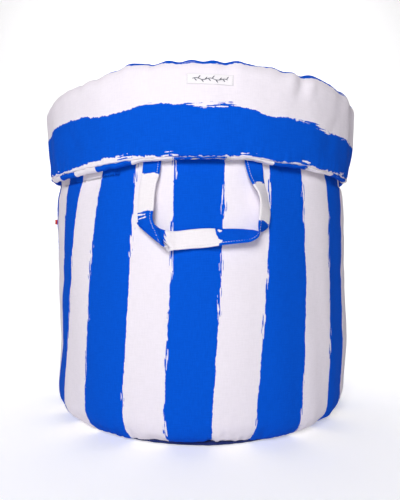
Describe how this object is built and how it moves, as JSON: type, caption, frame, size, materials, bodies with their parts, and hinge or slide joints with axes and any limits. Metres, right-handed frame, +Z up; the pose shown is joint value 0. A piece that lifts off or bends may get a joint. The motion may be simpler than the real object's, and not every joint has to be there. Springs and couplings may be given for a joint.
{
  "type": "padded fabric storage basket",
  "caption": "Round padded cotton storage basket, open at the top, with a deep turned-down cuff and two hinged strap handles.",
  "frame": {"origin": "middle of the underside, on the surface the basket stands on", "axes": "+Z up along the basket's axis; the front, with the label, faces -Y; +X is to the right seen from the front"},
  "size_m": [0.479, 0.4806, 0.4562],
  "materials": {
    "shell_cotton": "matte",
    "lining_cotton": "matte",
    "base_cotton": "matte",
    "wadding": "matte",
    "strap_cotton": "matte",
    "thread": "satin",
    "label_weave": "satin",
    "tag_tape": "satin"
  },
  "bodies": {
    "basket": {"outer_shell": "shell_cotton", "wall_wadding": "wadding", "cuff_wadding": "wadding", "lining": "lining_cotton", "base_cloth": "base_cotton", "base_wadding": "wadding", "base_lining": "lining_cotton", "base_seam": "base_cotton", "rim_seam": "thread", "shell_side_seam": "shell_cotton", "lining_side_seam": "lining_cotton", "side_tag": "tag_tape", "rim_label": "label_weave", "label_stitch_left": "thread", "label_stitch_right": "thread", "front_handle_left_end": "strap_cotton", "front_handle_left_tack": "thread", "front_handle_right_end": "strap_cotton", "front_handle_right_tack": "thread", "rear_handle_left_end": "strap_cotton", "rear_handle_left_tack": "thread", "rear_handle_right_end": "strap_cotton", "rear_handle_right_tack": "thread"},
    "front_handle": {"front_handle_strap": "strap_cotton", "front_handle_topstitch": "thread"},
    "rear_handle": {"rear_handle_strap": "strap_cotton", "rear_handle_topstitch": "thread"}
  },
  "joints": [
    {"name": "front_handle_lift", "type": "hinge", "parent": "basket", "child": "front_handle", "pos_m": [0.003, -0.2196, 0.333], "axis": [-1, 0, 0], "range_deg": [0, 90]},
    {"name": "rear_handle_lift", "type": "hinge", "parent": "basket", "child": "rear_handle", "pos_m": [-0.003, 0.2196, 0.333], "axis": [1, 0, 0], "range_deg": [0, 90]}
  ]
}
